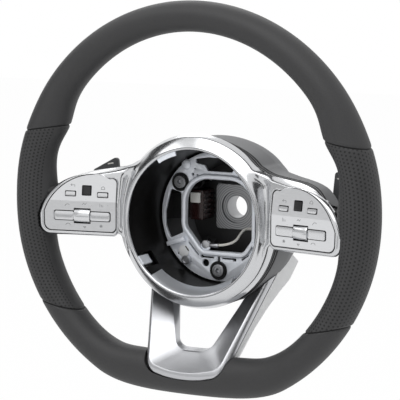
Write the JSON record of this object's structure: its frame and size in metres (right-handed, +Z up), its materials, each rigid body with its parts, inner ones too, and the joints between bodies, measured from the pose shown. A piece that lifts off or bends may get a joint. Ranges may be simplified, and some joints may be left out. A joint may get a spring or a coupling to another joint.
{
  "type": "steering wheel",
  "caption": "Flat-bottomed leather car steering wheel with an open hub, a sprung horn plate, thumb switches and shift paddles.",
  "frame": {"origin": "centre of the rear mouth of the column bore", "axes": "+X to the driver's right, +Y along the column away from the driver, +Z up across the wheel"},
  "size_m": [0.37, 0.1255, 0.3583],
  "materials": {
    "leather": "matte, fine grain",
    "foam": "moulded foam",
    "casting": "cast",
    "silver": "satin silver",
    "polished": "polished silver",
    "brushed": "brushed",
    "black_plastic": "matte",
    "grey_plastic": "matte, fine grain",
    "light_plastic": "satin",
    "key_silver": "satin silver",
    "key_black": "gloss",
    "zinc": "zinc coated sheet",
    "steel": "turned",
    "rubber": "matte",
    "connector": "gloss",
    "white_plastic": "satin",
    "lead": "satin"
  },
  "bodies": {
    "wheel": {"armature": "casting", "rim_foam": "foam", "leather_top": "leather", "leather_bottom": "leather", "left_leather_grip": "leather", "right_leather_grip": "leather", "hub_trim": "silver", "hub_liner": "black_plastic", "lower_spoke_trim": "silver", "lower_spoke_back": "light_plastic", "rear_cover": "grey_plastic", "cover_screws": "steel", "horn_bolts": "steel", "horn_springs": "steel", "lead_socket": "black_plastic", "hub_connector": "connector", "connector_latch": "white_plastic", "right_pod_frame": "polished", "left_pod_frame": "polished", "right_face_panel": "brushed", "left_face_panel": "brushed", "right_paddle_bracket": "black_plastic", "left_paddle_bracket": "black_plastic", "right_paddle_pin": "steel", "left_paddle_pin": "steel"},
    "horn": {"horn_plate": "zinc", "horn_bushes": "rubber", "horn_terminal": "steel", "horn_lead": "lead"},
    "right_inner_key": {"right_inner_key": "key_silver"},
    "right_outer_key": {"right_outer_key": "key_silver"},
    "right_touch_pad": {"right_touch_pad": "key_black"},
    "right_inner_rocker": {"right_inner_rocker": "key_silver"},
    "right_outer_rocker": {"right_outer_rocker": "key_silver"},
    "right_roller": {"right_roller": "polished"},
    "right_paddle": {"right_paddle": "grey_plastic"},
    "left_inner_key": {"left_inner_key": "key_silver"},
    "left_outer_key": {"left_outer_key": "key_silver"},
    "left_touch_pad": {"left_touch_pad": "key_black"},
    "left_inner_rocker": {"left_inner_rocker": "key_silver"},
    "left_outer_rocker": {"left_outer_rocker": "key_silver"},
    "left_roller": {"left_roller": "polished"},
    "left_paddle": {"left_paddle": "grey_plastic"}
  },
  "joints": [
    {"name": "horn_press", "type": "slide", "parent": "wheel", "child": "horn", "axis": [0, 1, 0], "range_m": [0, 0.0015], "stiffness_N_per_m": 8000, "springref_m": -0.003, "deforming": ["horn_springs"]},
    {"name": "right_paddle_pull", "type": "hinge", "parent": "wheel", "child": "right_paddle", "pos_m": [0.098, -0.047, 0.004], "axis": [0, 0, -1], "range_deg": [0, 5], "stiffness_Nm_per_rad": 2, "springref_deg": -2.86},
    {"name": "right_inner_key_press", "type": "slide", "parent": "wheel", "child": "right_inner_key", "axis": [0.1994, 0.9799, 0], "range_m": [0, 0.0008], "stiffness_N_per_m": 1500, "springref_m": -0.0008},
    {"name": "right_outer_key_press", "type": "slide", "parent": "wheel", "child": "right_outer_key", "axis": [0.1994, 0.9799, 0], "range_m": [0, 0.0008], "stiffness_N_per_m": 1500, "springref_m": -0.0008},
    {"name": "right_touch_pad_press", "type": "slide", "parent": "wheel", "child": "right_touch_pad", "axis": [0.1994, 0.9799, 0], "range_m": [0, 0.0005], "stiffness_N_per_m": 1500, "springref_m": -0.0008},
    {"name": "right_inner_rocker_tilt", "type": "hinge", "parent": "wheel", "child": "right_inner_rocker", "pos_m": [0.09539, -0.10829, -0.0058], "axis": [0.9799, -0.1994, 0], "range_deg": [-2.5, 2.5], "stiffness_Nm_per_rad": 0.15},
    {"name": "right_outer_rocker_tilt", "type": "hinge", "parent": "wheel", "child": "right_outer_rocker", "pos_m": [0.12959, -0.11525, -0.0058], "axis": [0.9799, -0.1994, 0], "range_deg": [-2.5, 2.5], "stiffness_Nm_per_rad": 0.15},
    {"name": "right_roller_turn", "type": "hinge", "parent": "wheel", "child": "right_roller", "pos_m": [0.11328, -0.10765, -0.0058], "axis": [0.9799, -0.1994, 0], "continuous": true},
    {"name": "left_paddle_pull", "type": "hinge", "parent": "wheel", "child": "left_paddle", "pos_m": [-0.098, -0.047, 0.004], "axis": [0, 0, 1], "range_deg": [0, 5], "stiffness_Nm_per_rad": 2, "springref_deg": -2.86},
    {"name": "left_inner_key_press", "type": "slide", "parent": "wheel", "child": "left_inner_key", "axis": [-0.1994, 0.9799, 0], "range_m": [0, 0.0008], "stiffness_N_per_m": 1500, "springref_m": -0.0008},
    {"name": "left_outer_key_press", "type": "slide", "parent": "wheel", "child": "left_outer_key", "axis": [-0.1994, 0.9799, 0], "range_m": [0, 0.0008], "stiffness_N_per_m": 1500, "springref_m": -0.0008},
    {"name": "left_touch_pad_press", "type": "slide", "parent": "wheel", "child": "left_touch_pad", "axis": [-0.1994, 0.9799, 0], "range_m": [0, 0.0005], "stiffness_N_per_m": 1500, "springref_m": -0.0008},
    {"name": "left_inner_rocker_tilt", "type": "hinge", "parent": "wheel", "child": "left_inner_rocker", "pos_m": [-0.09539, -0.10829, -0.0058], "axis": [0.9799, 0.1994, 0], "range_deg": [-2.5, 2.5], "stiffness_Nm_per_rad": 0.15},
    {"name": "left_outer_rocker_tilt", "type": "hinge", "parent": "wheel", "child": "left_outer_rocker", "pos_m": [-0.12959, -0.11525, -0.0058], "axis": [0.9799, 0.1994, 0], "range_deg": [-2.5, 2.5], "stiffness_Nm_per_rad": 0.15},
    {"name": "left_roller_turn", "type": "hinge", "parent": "wheel", "child": "left_roller", "pos_m": [-0.11328, -0.10765, -0.0058], "axis": [0.9799, 0.1994, 0], "continuous": true}
  ]
}
